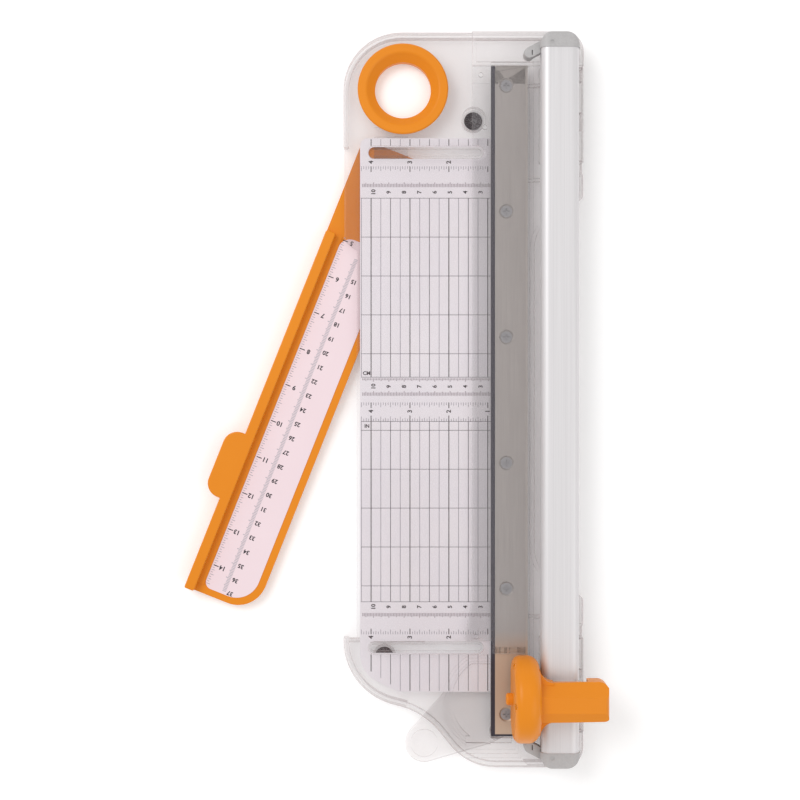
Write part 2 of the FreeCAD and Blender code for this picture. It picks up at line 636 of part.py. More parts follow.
def make_rail():
    """A hollow aluminium extrusion with a groove down each side for the carriage."""
    body = side(rail_section(0), -RAIL_HALF, RAIL_HALF)
    for x in (RAIL_LEFT - 1, RAIL_RIGHT - GROOVE_DEPTH):
        body = body.cut(box(x, x + 1 + GROOVE_DEPTH, -230.0, 230.0, *GROOVE_Z))
    centre = (RAIL_LEFT + RAIL_RIGHT) / 2
    inner_left = RAIL_LEFT + GROOVE_DEPTH + 1.6
    inner_right = RAIL_RIGHT - GROOVE_DEPTH - 1.6
    for x0, x1 in ((inner_left, centre - 0.8), (centre + 0.8, inner_right)):
        core = [(x0, 19.6, 1.0), (x1, 19.6, 1.0), (x1, 29.4, 2.0), (x0, 29.4, 2.0)]
        body = body.cut(side(core, -230.0, 230.0))
    bores = [disc(V(x, y, 0), 1.5, 17.0, 19.8) for x, y in BLOCK_SCREWS]
    keep("rail_extrusion", body.cut(bores))


BLOCK_SCREWS = [(x, sign * y) for sign in (-1, 1) for y in (165.0, 200.0) for x in (14.7, 25.0)]


def cap_arm(length_low, top):
    """The band that runs from the cap's corner to the foot on the base, seen from above."""
    root = V(12.0, 229.5, 0)
    foot = V(POST_X, POST_Y, 0)
    across = V(root.y - foot.y, foot.x - root.x, 0).normalize().multiply(CAP_ARM_HALF)
    corners = [root + across, root - across, foot - across, foot + across]
    return plan([(c.x, c.y, 0) for c in corners], length_low, top)


def make_end_cap(sign, name):
    """A grey cap on a rail end, with an arm that comes down on the base's rest."""
    left, right = CAP_SIDES
    plan_corners = [(left, RAIL_HALF, 0), (right, RAIL_HALF, 0), (right, CAP_END, 9.2), (left, CAP_END, 7.4)]
    cap = plan(plan_corners, CAP_LOW, CAP_TOP)
    outline = [(left, CAP_LOW, 1.2), (right, CAP_LOW, 1.2), (right, CAP_TOP, 5.5), (left, CAP_TOP, 5.5)]
    cap = cap.common(side(outline, RAIL_HALF - 1.0, CAP_END + 1.0))
    dimple = disc(V(14.6, 228.6, 0), 1.3, CAP_TOP - 0.5, CAP_TOP + 1)
    foot = disc(V(POST_X, POST_Y, 0), CAP_ARM_HALF, POST_TOP + 0.05, CAP_ARM_TOP)
    foot = soften(foot, edges_at(foot, CAP_ARM_TOP), 0.8)
    slot = box(POST_X + 1.4, POST_X + 2.1, POST_Y - 1.6, POST_Y + 1.6, CAP_ARM_TOP - 1.8, CAP_ARM_TOP + 1)
    arm = cap_arm(CAP_LOW, CAP_ARM_TOP).cut(box(RAIL_LEFT - 0.1, 40.0, 215.0, RAIL_HALF, 0, 40.0))
    pieces = [cap.cut(dimple), arm, foot]
    for x0, x1 in ((11.6, 18.5), (21.4, 28.3)):
        tongue = [(x0, 20.2, 0.8), (x1, 20.2, 0.8), (x1, 28.8, 1.0), (x0, 28.8, 1.0)]
        pieces.append(side(tongue, RAIL_HALF - 12.0, RAIL_HALF + 0.5))
    whole_cap = joined(pieces).cut(slot)
    if sign < 0:
        whole_cap = whole_cap.mirror(V(0, 0, 0), V(0, 1, 0))
    keep(name, whole_cap)


def make_hinge_block(sign, name):
    """A clear block under the rail with two knuckles on the hinge line."""
    low, high = sorted((sign * BLOCK_ZONE[0], sign * BLOCK_ZONE[1]))
    body = rounded_box(7.5, 36.0, low, high, BLOCK_UNDER, RAIL_UNDER, 1.5)
    body = body.cut(rounded_box(10.0, 33.0, low + 2.5, high - 2.5, BLOCK_UNDER - 1, RAIL_UNDER - 2.2, 1.0))
    fixed, moving = knuckle_spans(sign)
    for y0, y1 in moving:
        web = box(29.2, 35.8, y0, y1, HINGE_Z, RAIL_UNDER - 1)
        body = body.fuse([web, rod_y(HINGE_X, y0, y1, HINGE_Z, KNUCKLE_R)])
        body = body.cut(rod_y(HINGE_X, y0 - 1, y1 + 1, HINGE_Z, PIN_R + RUN_FIT))
    places = [(x, y) for x, y in BLOCK_SCREWS if y * sign > 0]
    for x, y in places:
        boss = disc(V(x, y, 0), 3.6, BLOCK_UNDER + 1.0, RAIL_UNDER - 0.5)
        body = body.fuse(boss).cut(disc(V(x, y, 0), 1.5, 0, 20)).cut(disc(V(x, y, 0), 2.8, 0, 15.0))
    keep(name, body.removeSplitter())


def make_hinge_hardware():
    """Hinge pins, and the screws that hold the blocks to the rail."""
    low, high = HINGE_ZONE
    pins = [rod_y(HINGE_X, -high - 1.5, -low + 1.5, HINGE_Z, PIN_R)]
    pins.append(rod_y(HINGE_X, low - 1.5, high + 1.5, HINGE_Z, PIN_R))
    keep("hinge_pins", Part.makeCompound(pins))
    screws = []
    for x, y in BLOCK_SCREWS:
        head = disc(V(x, y, 0), 2.7, 13.4, 15.0).cut(phillips_below(V(x, y, 0), 13.4, 1.4, 0.8))
        screws.append(head.fuse(disc(V(x, y, 0), 1.5, 14.9, 19.6)))
    keep("block_screws", Part.makeCompound(screws))


# ---- carriage ----
def make_glide_block():
    """A nylon saddle that runs on the rail, hooks into its grooves and guides the handle."""
    gap = 0.12
    y0 = CARRIAGE_Y - GLIDE_HALF
    y1 = CARRIAGE_Y + GLIDE_HALF
    outer = [(6.0, 20.6, 0.4), (34.2, 20.6, 0.4), (34.2, GLIDE_TOP, 1.5), (6.0, GLIDE_TOP, 1.5)]
    body = side(outer, y0, y1)
    channel = [
        (RAIL_LEFT - gap, 10.0, 0),
        (RAIL_RIGHT + gap, 10.0, 0),
        (RAIL_RIGHT + gap, RAIL_TOP + gap, 4.9),
        (RAIL_LEFT - gap, RAIL_TOP + gap, 4.9),
    ]
    body = body.cut(side(channel, y0 - 1, y1 + 1))
    hook_low = GROOVE_Z[0] + gap
    hook_high = GROOVE_Z[1] - gap
    reach = GROOVE_DEPTH - gap
    hooks = [box(6.5, RAIL_LEFT + reach, y0, y1, hook_low, hook_high)]
    hooks.append(box(RAIL_RIGHT - reach, 33.8, y0, y1, hook_low, hook_high))
    posts = [disc(V(x, CARRIAGE_Y, 0), 2.0, GLIDE_TOP - 0.5, GUIDE_POST_TOP) for x in SPRING_X]
    keep("glide_block", joined([body] + hooks + posts))


SPRING_X = (13.5, 27.0)


def make_springs():
    """Two short coil springs that hold the handle up, each a stack of wire turns."""
    springs = []
    low = GLIDE_TOP + SPRING_WIRE
    high = SPRING_SEAT - SPRING_WIRE
    turns = 5
    for x in SPRING_X:
        helix = Part.makeHelix((high - low) / turns, high - low, SPRING_R)
        section = Part.Wire(Part.makeCircle(SPRING_WIRE, V(SPRING_R, 0, 0), V(0, 1, 0)))
        coil = Part.Wire(helix).makePipeShell([section], True, True)
        coil.translate(V(x, CARRIAGE_Y, low))
        springs.append(coil)
    keep("press_springs", Part.makeCompound(springs))


def housing(x0, x1, radius):
    """A disc-shaped body about the blade's axle."""
    return rod_x(x0, x1, CARRIAGE_Y, AXLE_Z, radius)


def below_housing():
    """What is cut away under the blade housing."""
    low = box(-30.0, 0.5, CARRIAGE_Y - 40, CARRIAGE_Y + 40, -10.0, HOUSING_CUT)
    return low.fuse(box(0.4, 5.7, CARRIAGE_Y - 40, CARRIAGE_Y + 40, -10.0, HOUSING_CUT - 1.0))


def rounded_housing(x0, x1, radius, round_at, rounding):
    """A disc-shaped body with one rim rounded over."""
    body = housing(x0, x1, radius)
    bounds = [(e, e.BoundBox) for e in body.Edges]
    rim = [e for e, b in bounds if abs(b.XMax - round_at) < 1e-4 and abs(b.XMin - round_at) < 1e-4]
    return soften(body, rim, rounding)


def above_facet(facet, drop):
    """Everything above one flat of the handle's top, given its height and its two slopes."""
    height, along, across = facet
    corners = []
    for x, y in ((-30, -50), (80, -50), (80, 50), (-30, 50), (-30, -50)):
        corners.append(V(x, CARRIAGE_Y + y, height - drop + along * x + across * y))
    return Part.Face(Part.makePolygon(corners)).extrude(V(0, 0, 90))


def handle_facets(drop):
    """The three flats that meet in two ridges along the handle."""
    return [above_facet(facet, drop) for facet in (CROWN, UPPER_FACET, LOWER_FACET)]


def make_carriage_shell():
    """The orange handle: half of the blade housing and the ridged saddle over the rail, as a shell."""
    y0 = CARRIAGE_Y - SADDLE_HALF
    y1 = CARRIAGE_Y + SADDLE_HALF
    outline = [
        (0.0, SADDLE_UNDER, 0),
        (GRIP_LEFT, SADDLE_UNDER, 1.0),
        (GRIP_LEFT, GRIP_LOW, 1.5),
        (SADDLE_RIGHT - 1.2, GRIP_LOW, 1.5),
        (SADDLE_RIGHT, 36.0, 6.0),
        (SADDLE_RIGHT - 2.0, 50.2, 4.5),
        (0.0, 55.0, 0),
    ]
    saddle = side(outline, y0, y1)
    nose_x = SADDLE_RIGHT - 0.9
    nose = [
        (0.0, y0, 0),
        (nose_x, y0, 4.0),
        (SADDLE_RIGHT, CARRIAGE_Y - 1.0, 24.0),
        (nose_x, y1, 6.5),
        (0.0, y1, 0),
    ]
    saddle = saddle.common(plan(nose, 10.0, 60.0)).cut(handle_facets(0.0))
    flare = []
    for sign in (-1, 1):
        corner = [(5.0, 11.0), (5.0, 21.0), (14.0, SADDLE_HALF), (14.0, 11.0)]
        wedge = plan([(x, CARRIAGE_Y + sign * y, 0) for x, y in corner], SADDLE_UNDER - 4.0, FLARE_TOP)
        bite_at = V(5.0 + 9.4, CARRIAGE_Y + sign * (SADDLE_HALF + 9.4), 0)
        flare.append(wedge.cut(disc(bite_at, 9.2, 20.0, 60.0)))
    half = rounded_housing(HOUSING_SPLIT, HOUSING_X[1], HOUSING_R, HOUSING_X[1], SHELL_ROUND)
    body = joined([half, saddle] + flare)

    right_wall = HOUSING_X[1] - HOUSING_WALL
    cavity_r = HOUSING_R - HOUSING_WALL
    cavity = rounded_housing(HOUSING_SPLIT - 1, right_wall, cavity_r, right_wall, SHELL_ROUND - HOUSING_WALL)
    cavity = cavity.cut([rod_x(HOUSING_SPLIT - 1, -0.4, y, z, 2.4) for y, z in COVER_SCREWS])
    inner = [
        (HOUSING_X[1] + 0.2, 10.0, 0),
        (46.2, 10.0, 0),
        (46.2, 40.0, 3.0),
        (42.5, 60.0, 0),
        (HOUSING_X[1] + 0.2, 60.0, 0),
    ]
    hollow = side(inner, y0 + SKIRT, y1 - SKIRT).cut(handle_facets(ROOF))
    hollow = hollow.cut([disc(V(x, CARRIAGE_Y, 0), 4.2, SPRING_SEAT, 60.0) for x in SPRING_X])
    body = body.cut([cavity, hollow])
    body = body.fuse(housing(right_wall - 0.1, HOUSING_X[1], 6.5))
    bores = [rod_x(0.0, HOUSING_X[1] - 0.4, CARRIAGE_Y, AXLE_Z, AXLE_R)]
    bores += [rod_x(HOUSING_SPLIT - 1, -0.6, y, z, 1.0) for y, z in COVER_SCREWS]
    bore_top = GUIDE_POST_TOP + PRESS_TRAVEL + 0.8
    bores += [disc(V(x, CARRIAGE_Y, 0), 2.0 + RUN_FIT, 30.0, bore_top) for x in SPRING_X]
    keep("carriage_shell", body.cut(bores).cut(below_housing()).removeSplitter())


def make_blade_cover():
    """The outer half of the blade housing, held by three screws."""
    cover = rounded_housing(HOUSING_X[0], HOUSING_SPLIT, HOUSING_R, HOUSING_X[0], COVER_ROUND)
    left_wall = HOUSING_X[0] + HOUSING_WALL
    cavity_r = HOUSING_R - HOUSING_WALL
    inner = rounded_housing(left_wall, HOUSING_SPLIT + 1, cavity_r, left_wall, COVER_ROUND - HOUSING_WALL)
    cover = cover.cut(inner)
    seats = [rod_x(-20.0, 0.0, CARRIAGE_Y, AXLE_Z, AXLE_R)]
    for y, z in COVER_SCREWS:
        boss = rod_x(left_wall - 0.8, HOUSING_SPLIT, y, z, 2.4)
        cover = cover.fuse(boss.common(housing(left_wall - 0.8, 0, HOUSING_R - 0.5)))
        seats.append(rod_x(-20.0, SCREW_SEAT, y, z, 2.0))
        seats.append(rod_x(-20.0, 0.0, y, z, 1.0))
    keep("blade_cover", cover.cut(seats).cut(below_housing()).removeSplitter())


COVER_SCREWS = [
    (
        CARRIAGE_Y + SCREW_RING * math.cos(math.radians(angle)),
        AXLE_Z + SCREW_RING * math.sin(math.radians(angle)),
    )
    for angle in (20.0, 90.0, 160.0)
]


def make_blade_set():
    """Axle with its knob, cover screws, the round blade and its two-piece hub."""
    shank = rod_x(HOUSING_X[0] - 0.2, HOUSING_X[1] - 0.4, CARRIAGE_Y, AXLE_Z, AXLE_R)
    keep("axle_bolt", shank)
    knob = rod_x(KNOB_LEFT, HOUSING_X[0], CARRIAGE_Y, AXLE_Z, 3.9)
    rim = [e for e in knob.Edges if abs(e.BoundBox.XMax - KNOB_LEFT) < 1e-4]
    knob = soften(knob, rim, 1.4)
    slot_y = (CARRIAGE_Y - 2.6, CARRIAGE_Y + 2.6)
    slot = box(KNOB_LEFT - 0.6, KNOB_LEFT + 1.0, *slot_y, AXLE_Z - 0.5, AXLE_Z + 0.5)
    socket = rod_x(HOUSING_X[0] - 0.2, 0, CARRIAGE_Y, AXLE_Z, AXLE_R)
    keep("axle_knob", knob.cut([slot, socket]))
    screws = []
    for y, z in COVER_SCREWS:
        head = rod_x(SCREW_SEAT - 1.0, SCREW_SEAT, y, z, 1.9)
        slot = box(SCREW_SEAT - 2.0, SCREW_SEAT - 0.5, y - 1.2, y + 1.2, z - 0.25, z + 0.25)
        screws.append(head.cut(slot).fuse(rod_x(SCREW_SEAT - 0.1, -0.8, y, z, 1.0)))
    keep("cover_screws", Part.makeCompound(screws))
    bore = rod_x(-20.0, 20.0, CARRIAGE_Y, AXLE_Z, AXLE_R + RUN_FIT)
    edge_x = sum(BLADE_X) / 2
    left_at = V(BLADE_X[0], CARRIAGE_Y, AXLE_Z)
    edge_at = V(edge_x, CARRIAGE_Y, AXLE_Z)
    left = Part.makeCone(BLADE_R - BLADE_BEVEL, BLADE_R, edge_x - BLADE_X[0], left_at, ALONG_X)
    right = Part.makeCone(BLADE_R, BLADE_R - BLADE_BEVEL, BLADE_X[1] - edge_x, edge_at, ALONG_X)
    keep("rotary_blade", left.fuse(right).removeSplitter().cut(rod_x(-1, 2, CARRIAGE_Y, AXLE_Z, 4.0)))
    hub = rod_x(HOUSING_X[0] + HOUSING_WALL + 0.2, BLADE_X[0], CARRIAGE_Y, AXLE_Z, 4.4)
    flange = rod_x(-2.0, BLADE_X[0], CARRIAGE_Y, AXLE_Z, 8.0)
    spigot = rod_x(0.0, BLADE_X[1], CARRIAGE_Y, AXLE_Z, 4.0)
    keep("blade_hub", joined([hub, flange, spigot]).cut(bore))
    keep("hub_washer", rod_x(BLADE_X[1], 3.1, CARRIAGE_Y, AXLE_Z, 8.0).cut(bore))


# ---- make every piece, centre the footprint and write the files ----
make_base_tray()
make_plate()
make_grid_label()
make_paper_guide()
make_hang_ring()
make_feet()
make_ruler_arm()
make_blade_tray()
make_rail()
make_end_cap(1, "end_cap_upper")
make_end_cap(-1, "end_cap_lower")
make_hinge_block(1, "hinge_block_upper")
make_hinge_block(-1, "hinge_block_lower")
make_hinge_hardware()
make_glide_block()
make_springs()
make_carriage_shell()
make_blade_cover()
make_blade_set()

whole = Part.makeCompound(list(nodes.values())).optimalBoundingBox(False)
shift = V(-whole.Center.x, -whole.Center.y, 0)
print("shift", round(shift.x, 3), round(shift.y, 3), "size", whole.XLength, whole.YLength, whole.ZLength)
for name, shape in nodes.items():
    moved = shape.copy()
    moved.translate(shift)
    solids = len(moved.Solids)
    print(name, "solids", solids, "volume", round(moved.Volume), "z", round(moved.BoundBox.ZMin, 2))
    moved.exportStep("parts/" + name + ".step")
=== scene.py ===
import json
import math

import bmesh
import bpy
from mathutils import Matrix, Vector


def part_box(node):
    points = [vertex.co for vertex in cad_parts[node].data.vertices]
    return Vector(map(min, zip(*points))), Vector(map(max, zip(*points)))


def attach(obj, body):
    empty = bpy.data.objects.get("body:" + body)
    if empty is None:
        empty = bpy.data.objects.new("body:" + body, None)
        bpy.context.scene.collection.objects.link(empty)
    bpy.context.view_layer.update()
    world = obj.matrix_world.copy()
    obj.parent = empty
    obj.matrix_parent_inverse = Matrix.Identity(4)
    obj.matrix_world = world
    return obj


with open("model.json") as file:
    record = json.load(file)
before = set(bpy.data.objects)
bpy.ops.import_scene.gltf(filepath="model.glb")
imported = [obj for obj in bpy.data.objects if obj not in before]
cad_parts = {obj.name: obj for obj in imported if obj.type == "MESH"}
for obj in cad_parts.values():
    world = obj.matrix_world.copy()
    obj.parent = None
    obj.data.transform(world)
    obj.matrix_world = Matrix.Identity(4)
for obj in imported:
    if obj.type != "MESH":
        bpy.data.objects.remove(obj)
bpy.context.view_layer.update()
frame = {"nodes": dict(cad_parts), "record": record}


# Camera straight above the trimmer, as when it lies open on a white table.
# It hangs over a point just right of the middle of the footprint.
camera_height = 0.950
camera_right_of_middle = 0.0037
camera_data = bpy.data.cameras.new("camera")
camera_data.lens = 64.8
camera_data.sensor_width = 36.0
camera_data.clip_start = 0.01
camera_data.clip_end = 20.0
camera = bpy.data.objects.new("camera", camera_data)
camera.location = (camera_right_of_middle, 0.0, camera_height)
bpy.context.collection.objects.link(camera)
bpy.context.scene.camera = camera
bpy.context.scene.view_settings.view_transform = "Standard"


# Studio: a bright even room and two large soft lamps that look at the middle of the table,
# one from the upper left that shapes the parts and a weak one from the right.
room = bpy.data.worlds.new("room")
bpy.context.scene.world = room
room.use_nodes = True
sky = room.node_tree.nodes["Background"]
sky.inputs["Color"].default_value = (1.0, 0.99, 0.985, 1.0)
sky.inputs["Strength"].default_value = 0.72


def soft_lamp(name, place, size, power):
    """A large square area lamp turned towards the middle of the table."""
    data = bpy.data.lights.new(name, "AREA")
    data.shape = "SQUARE"
    data.size = size
    data.energy = power
    lamp = bpy.data.objects.new(name, data)
    lamp.location = place
    lamp.rotation_euler = (-Vector(place)).to_track_quat("-Z", "Y").to_euler()
    bpy.context.collection.objects.link(lamp)


soft_lamp("key_lamp", (-0.9, 0.7, 1.5), size=1.0, power=13.0)
soft_lamp("fill_lamp", (1.2, -0.5, 1.3), size=1.3, power=5.0)


# Table top: white painted board that is only a stage. It is far larger than the view,
# so its edges never show.
def new_finish(name, metallic=0.0, roughness=0.5):
    """A new Principled material, with its node tree and its shader."""
    material = bpy.data.materials.new(name)
    material.use_nodes = True
    shader = material.node_tree.nodes["Principled BSDF"]
    shader.inputs["Metallic"].default_value = metallic
    shader.inputs["Roughness"].default_value = roughness
    return material, material.node_tree, shader


def noise_on(tree, scale, detail, stretch=(1.0, 1.0, 1.0)):
    """Noise on the object's own coordinates, stretched along an axis where the finish has a grain."""
    coords = tree.nodes.new("ShaderNodeTexCoord")
    mapping = tree.nodes.new("ShaderNodeMapping")
    mapping.inputs["Scale"].default_value = stretch
    noise = tree.nodes.new("ShaderNodeTexNoise")
    noise.inputs["Scale"].default_value = scale
    noise.inputs["Detail"].default_value = detail
    tree.links.new(coords.outputs["Object"], mapping.inputs["Vector"])
    tree.links.new(mapping.outputs["Vector"], noise.inputs["Vector"])
    return noise.outputs["Fac"]


def toned(tree, value, dark, light):
    """A colour that drifts between two tones."""
    tone = tree.nodes.new("ShaderNodeMix")
    tone.data_type = "RGBA"
    tone.inputs["A"].default_value = (*dark, 1.0)
    tone.inputs["B"].default_value = (*light, 1.0)
    tree.links.new(value, tone.inputs["Factor"])
    return tone.outputs["Result"]


def piece_from(bm, name, materials, body):
    """Turn a bmesh into a finished object, and let it ride on a body where it has one."""
    bmesh.ops.recalc_face_normals(bm, faces=bm.faces)
    mesh = bpy.data.meshes.new(name)
    bm.to_mesh(mesh)
    bm.free()
    for material in materials:
        mesh.materials.append(material)
    piece = bpy.data.objects.new(name, mesh)
    bpy.context.collection.objects.link(piece)
    if body:
        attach(piece, body)
    return piece


table_half_width = 3.0
table_paint, table_tree, table_shader = new_finish("table_paint", roughness=0.6)
table_tone = toned(table_tree, noise_on(table_tree, 3.0, 2.0), (0.92, 0.92, 0.92), (0.94, 0.94, 0.94))
table_tree.links.new(table_tone, table_shader.inputs["Base Color"])
table_shader.inputs["Emission Color"].default_value = (1.0, 1.0, 1.0, 1.0)
table_shader.inputs["Emission Strength"].default_value = 0.16
table_mesh = bmesh.new()
bmesh.ops.create_grid(table_mesh, x_segments=1, y_segments=1, size=table_half_width)
table = piece_from(table_mesh, "table_top", [table_paint], None)


# Clear mouldings: the base tray, the hinge blocks, the spare-blade tray and the paper guide are
# polystyrene. Flats are see-through with a faint warm tint; edges and fillets get painted reflection and
# refraction, paler and less see-through where the surface turns from the view.
def finish_nodes(material, *names):
    """Give CAD nodes a finish."""
    for name in names:
        for slot in frame["nodes"][name].material_slots:
            slot.material = material


def ranged(tree, value, low, high, at_low=0.3, at_high=0.7):
    """Spread a value between two limits. Noise mostly lies between 0.3 and 0.7."""
    spread = tree.nodes.new("ShaderNodeMapRange")
    spread.inputs["From Min"].default_value = at_low
    spread.inputs["From Max"].default_value = at_high
    spread.inputs["To Min"].default_value = low
    spread.inputs["To Max"].default_value = high
    tree.links.new(value, spread.inputs["Value"])
    return spread.outputs["Result"]


def bumped(tree, shader, height, strength, distance):
    """Raise fine relief from a height value."""
    bump = tree.nodes.new("ShaderNodeBump")
    bump.inputs["Strength"].default_value = strength
    bump.inputs["Distance"].default_value = distance
    tree.links.new(height, bump.inputs["Height"])
    tree.links.new(bump.outputs["Normal"], shader.inputs["Normal"])


def clear_moulding(name, tint, edge_reflection_tint, flat_haze, edge_reflection_cover):
    """See-through plastic that grows paler and less see-through towards its edges, a painted reflection and
    refraction.
    """
    material, tree, shader = new_finish(name)
    shader.inputs["IOR"].default_value = 1.57
    facing = tree.nodes.new("ShaderNodeLayerWeight")
    facing.inputs["Blend"].default_value = 0.5
    flow = noise_on(tree, 14.0, 3.0, (1.0, 0.35, 1.0))
    # Less see-through where the surface turns from the view: painted reflection and refraction at edges and
    # fillets.
    cover_with_reflection = ranged(tree, facing.outputs["Facing"], flat_haze, edge_reflection_cover, 0.0, 1.0)
    swirl = ranged(tree, flow, 0.92, 1.12)
    product = tree.nodes.new("ShaderNodeMath")
    product.operation = "MULTIPLY"
    tree.links.new(cover_with_reflection, product.inputs[0])
    tree.links.new(swirl, product.inputs[1])
    tree.links.new(product.outputs["Value"], shader.inputs["Alpha"])
    # Paler tone where the surface turns from the view: painted reflection at edges and fillets.
    tone = toned(tree, facing.outputs["Facing"], tint, edge_reflection_tint)
    tree.links.new(tone, shader.inputs["Base Color"])
    tree.links.new(ranged(tree, flow, 0.06, 0.16), shader.inputs["Roughness"])
    bumped(tree, shader, flow, 0.15, 0.0006)
    return material


clear_base = clear_moulding("clear_base", (0.44, 0.34, 0.35), (0.70, 0.62, 0.61), 0.062, 0.56)
finish_nodes(clear_base, "base_tray", "hinge_block_upper", "hinge_block_lower")
clear_tray = clear_moulding("clear_tray", (0.55, 0.45, 0.45), (0.58, 0.53, 0.53), 0.05, 0.45)
finish_nodes(clear_tray, "blade_tray")
clear_guide = clear_moulding("clear_guide", (0.62, 0.59, 0.61), (0.78, 0.76, 0.77), 0.05, 0.55)
finish_nodes(clear_guide, "paper_guide")


# Orange pieces: the ruler arm, the hang ring, both halves of the carriage and its axle knob.
# They are injection-moulded ABS with a fine satin texture and a slight drift in its colour.
orange_abs, orange_tree, orange_shader = new_finish("orange_abs")
orange_cloud = ranged(orange_tree, noise_on(orange_tree, 9.0, 4.0), 0.0, 1.0)
orange_grain = noise_on(orange_tree, 1400.0, 2.0)
orange_tone = toned(orange_tree, orange_cloud, (0.745, 0.23, 0.006), (0.795, 0.257, 0.009))
orange_shader.inputs["Specular IOR Level"].default_value = 0.28
orange_tree.links.new(orange_tone, orange_shader.inputs["Base Color"])
orange_tree.links.new(ranged(orange_tree, orange_grain, 0.30, 0.44), orange_shader.inputs["Roughness"])
bumped(orange_tree, orange_shader, orange_grain, 0.12, 0.0001)
finish_nodes(orange_abs, "ruler_arm", "hang_ring", "carriage_shell", "blade_cover", "axle_knob")


# Rail: an aluminium extrusion, etched and anodised. The die leaves faint draw lines along its
# length, so the grain is fine across the rail and very long along it.
rail_metal, rail_tree, rail_shader = new_finish("rail_metal", metallic=0.45)
draw_lines = noise_on(rail_tree, 60.0, 3.0, (26.0, 0.12, 26.0))
line_contrast = ranged(rail_tree, draw_lines, 0.0, 1.0)
rail_tone = toned(rail_tree, line_contrast, (0.69, 0.675, 0.685), (0.745, 0.73, 0.74))
rail_tree.links.new(rail_tone, rail_shader.inputs["Base Color"])
rail_tree.links.new(ranged(rail_tree, draw_lines, 0.44, 0.54), rail_shader.inputs["Roughness"])
bumped(rail_tree, rail_shader, draw_lines, 0.08, 0.0001)
finish_nodes(rail_metal, "rail_extrusion")


# End caps: grey glass-filled nylon, moulded in a spark-eroded tool that leaves a fine matte
# texture. They push into the ends of the rail.
cap_nylon, cap_tree, cap_shader = new_finish("cap_nylon")
cap_grain = noise_on(cap_tree, 900.0, 3.0)
cap_tone = toned(cap_tree, ranged(cap_tree, cap_grain, 0.0, 1.0), (0.42, 0.41, 0.41), (0.47, 0.46, 0.46))
cap_tree.links.new(cap_tone, cap_shader.inputs["Base Color"])
cap_tree.links.new(ranged(cap_tree, cap_grain, 0.42, 0.58), cap_shader.inputs["Roughness"])
bumped(cap_tree, cap_shader, cap_grain, 0.2, 0.00012)
finish_nodes(cap_nylon, "end_cap_upper", "end_cap_lower")


# Cutting plate: a brushed steel strip that the paper is cut over. The end that shows past the
# clear guide, next to the parked carriage, has a painted orange reflection of the carriage, which fades out
# under the guide's end.
plate_steel, plate_tree, plate_shader = new_finish("plate_steel", metallic=0.45)
brush_marks = noise_on(plate_tree, 90.0, 4.0, (20.0, 0.3, 1.0))
brush_contrast = ranged(plate_tree, brush_marks, 0.0, 1.0)
plate_grey = toned(plate_tree, brush_contrast, (0.40, 0.365, 0.345), (0.46, 0.42, 0.40))
plate_coords = plate_tree.nodes.new("ShaderNodeTexCoord")
plate_place = plate_tree.nodes.new("ShaderNodeSeparateXYZ")
plate_tree.links.new(plate_coords.outputs["Object"], plate_place.inputs["Vector"])
# Painted orange reflection of the parked carriage on the plate's lower end: strongest below one height, gone
# above another.
painted_reflection_share = 0.75
full_reflection_below = -0.165
no_reflection_above = -0.150
painted_reflection_mask = ranged(plate_tree, plate_place.outputs["Y"], painted_reflection_share, 0.0, full_reflection_below, no_reflection_above)
plate_tone_with_reflection = plate_tree.nodes.new("ShaderNodeMix")
plate_tone_with_reflection.data_type = "RGBA"
# Colour of the painted orange reflection.
plate_tone_with_reflection.inputs["B"].default_value = (0.60, 0.43, 0.30, 1.0)
plate_tree.links.new(plate_grey, plate_tone_with_reflection.inputs["A"])
plate_tree.links.new(painted_reflection_mask, plate_tone_with_reflection.inputs["Factor"])
plate_tree.links.new(plate_tone_with_reflection.outputs["Result"], plate_shader.inputs["Base Color"])
plate_tree.links.new(ranged(plate_tree, brush_marks, 0.34, 0.5), plate_shader.inputs["Roughness"])
bumped(plate_tree, plate_shader, brush_marks, 0.06, 0.0001)
finish_nodes(plate_steel, "cutting_plate")


# Plate bed: a strip of black closed-cell foam that the plate lies in.
# It shows as a dark line along the plate's left edge and lower end.
bed_foam, foam_tree, foam_shader = new_finish("bed_foam", roughness=0.85)
foam_cells = noise_on(foam_tree, 2200.0, 2.0)
foam_tone = toned(foam_tree, foam_cells, (0.03, 0.028, 0.04), (0.07, 0.062, 0.08))
foam_tree.links.new(foam_tone, foam_shader.inputs["Base Color"])
bumped(foam_tree, foam_shader, foam_cells, 0.4, 0.0002)
finish_nodes(bed_foam, "plate_bed")


# Fasteners: the screws, pins, axle bolt and springs are zinc-plated steel.
# The plate's own screws have a duller, darker plating.
zinc, zinc_tree, zinc_shader = new_finish("zinc_steel", metallic=0.9)
zinc_cloud = noise_on(zinc_tree, 500.0, 3.0)
zinc_tone = toned(zinc_tree, zinc_cloud, (0.5, 0.49, 0.48), (0.66, 0.65, 0.63))
zinc_tree.links.new(zinc_tone, zinc_shader.inputs["Base Color"])
zinc_tree.links.new(ranged(zinc_tree, zinc_cloud, 0.22, 0.42), zinc_shader.inputs["Roughness"])
finish_nodes(zinc, "block_screws", "cover_screws", "hinge_pins", "arm_pivot_screw", "tray_screw")
finish_nodes(zinc, "axle_bolt", "press_springs")

dull_steel, dull_tree, dull_shader = new_finish("dull_steel", metallic=0.6)
dull_cloud = noise_on(dull_tree, 900.0, 3.0)
dull_tone = toned(dull_tree, dull_cloud, (0.30, 0.29, 0.30), (0.42, 0.41, 0.42))
dull_tree.links.new(dull_tone, dull_shader.inputs["Base Color"])
dull_tree.links.new(ranged(dull_tree, dull_cloud, 0.34, 0.5), dull_shader.inputs["Roughness"])
finish_nodes(dull_steel, "plate_screws")


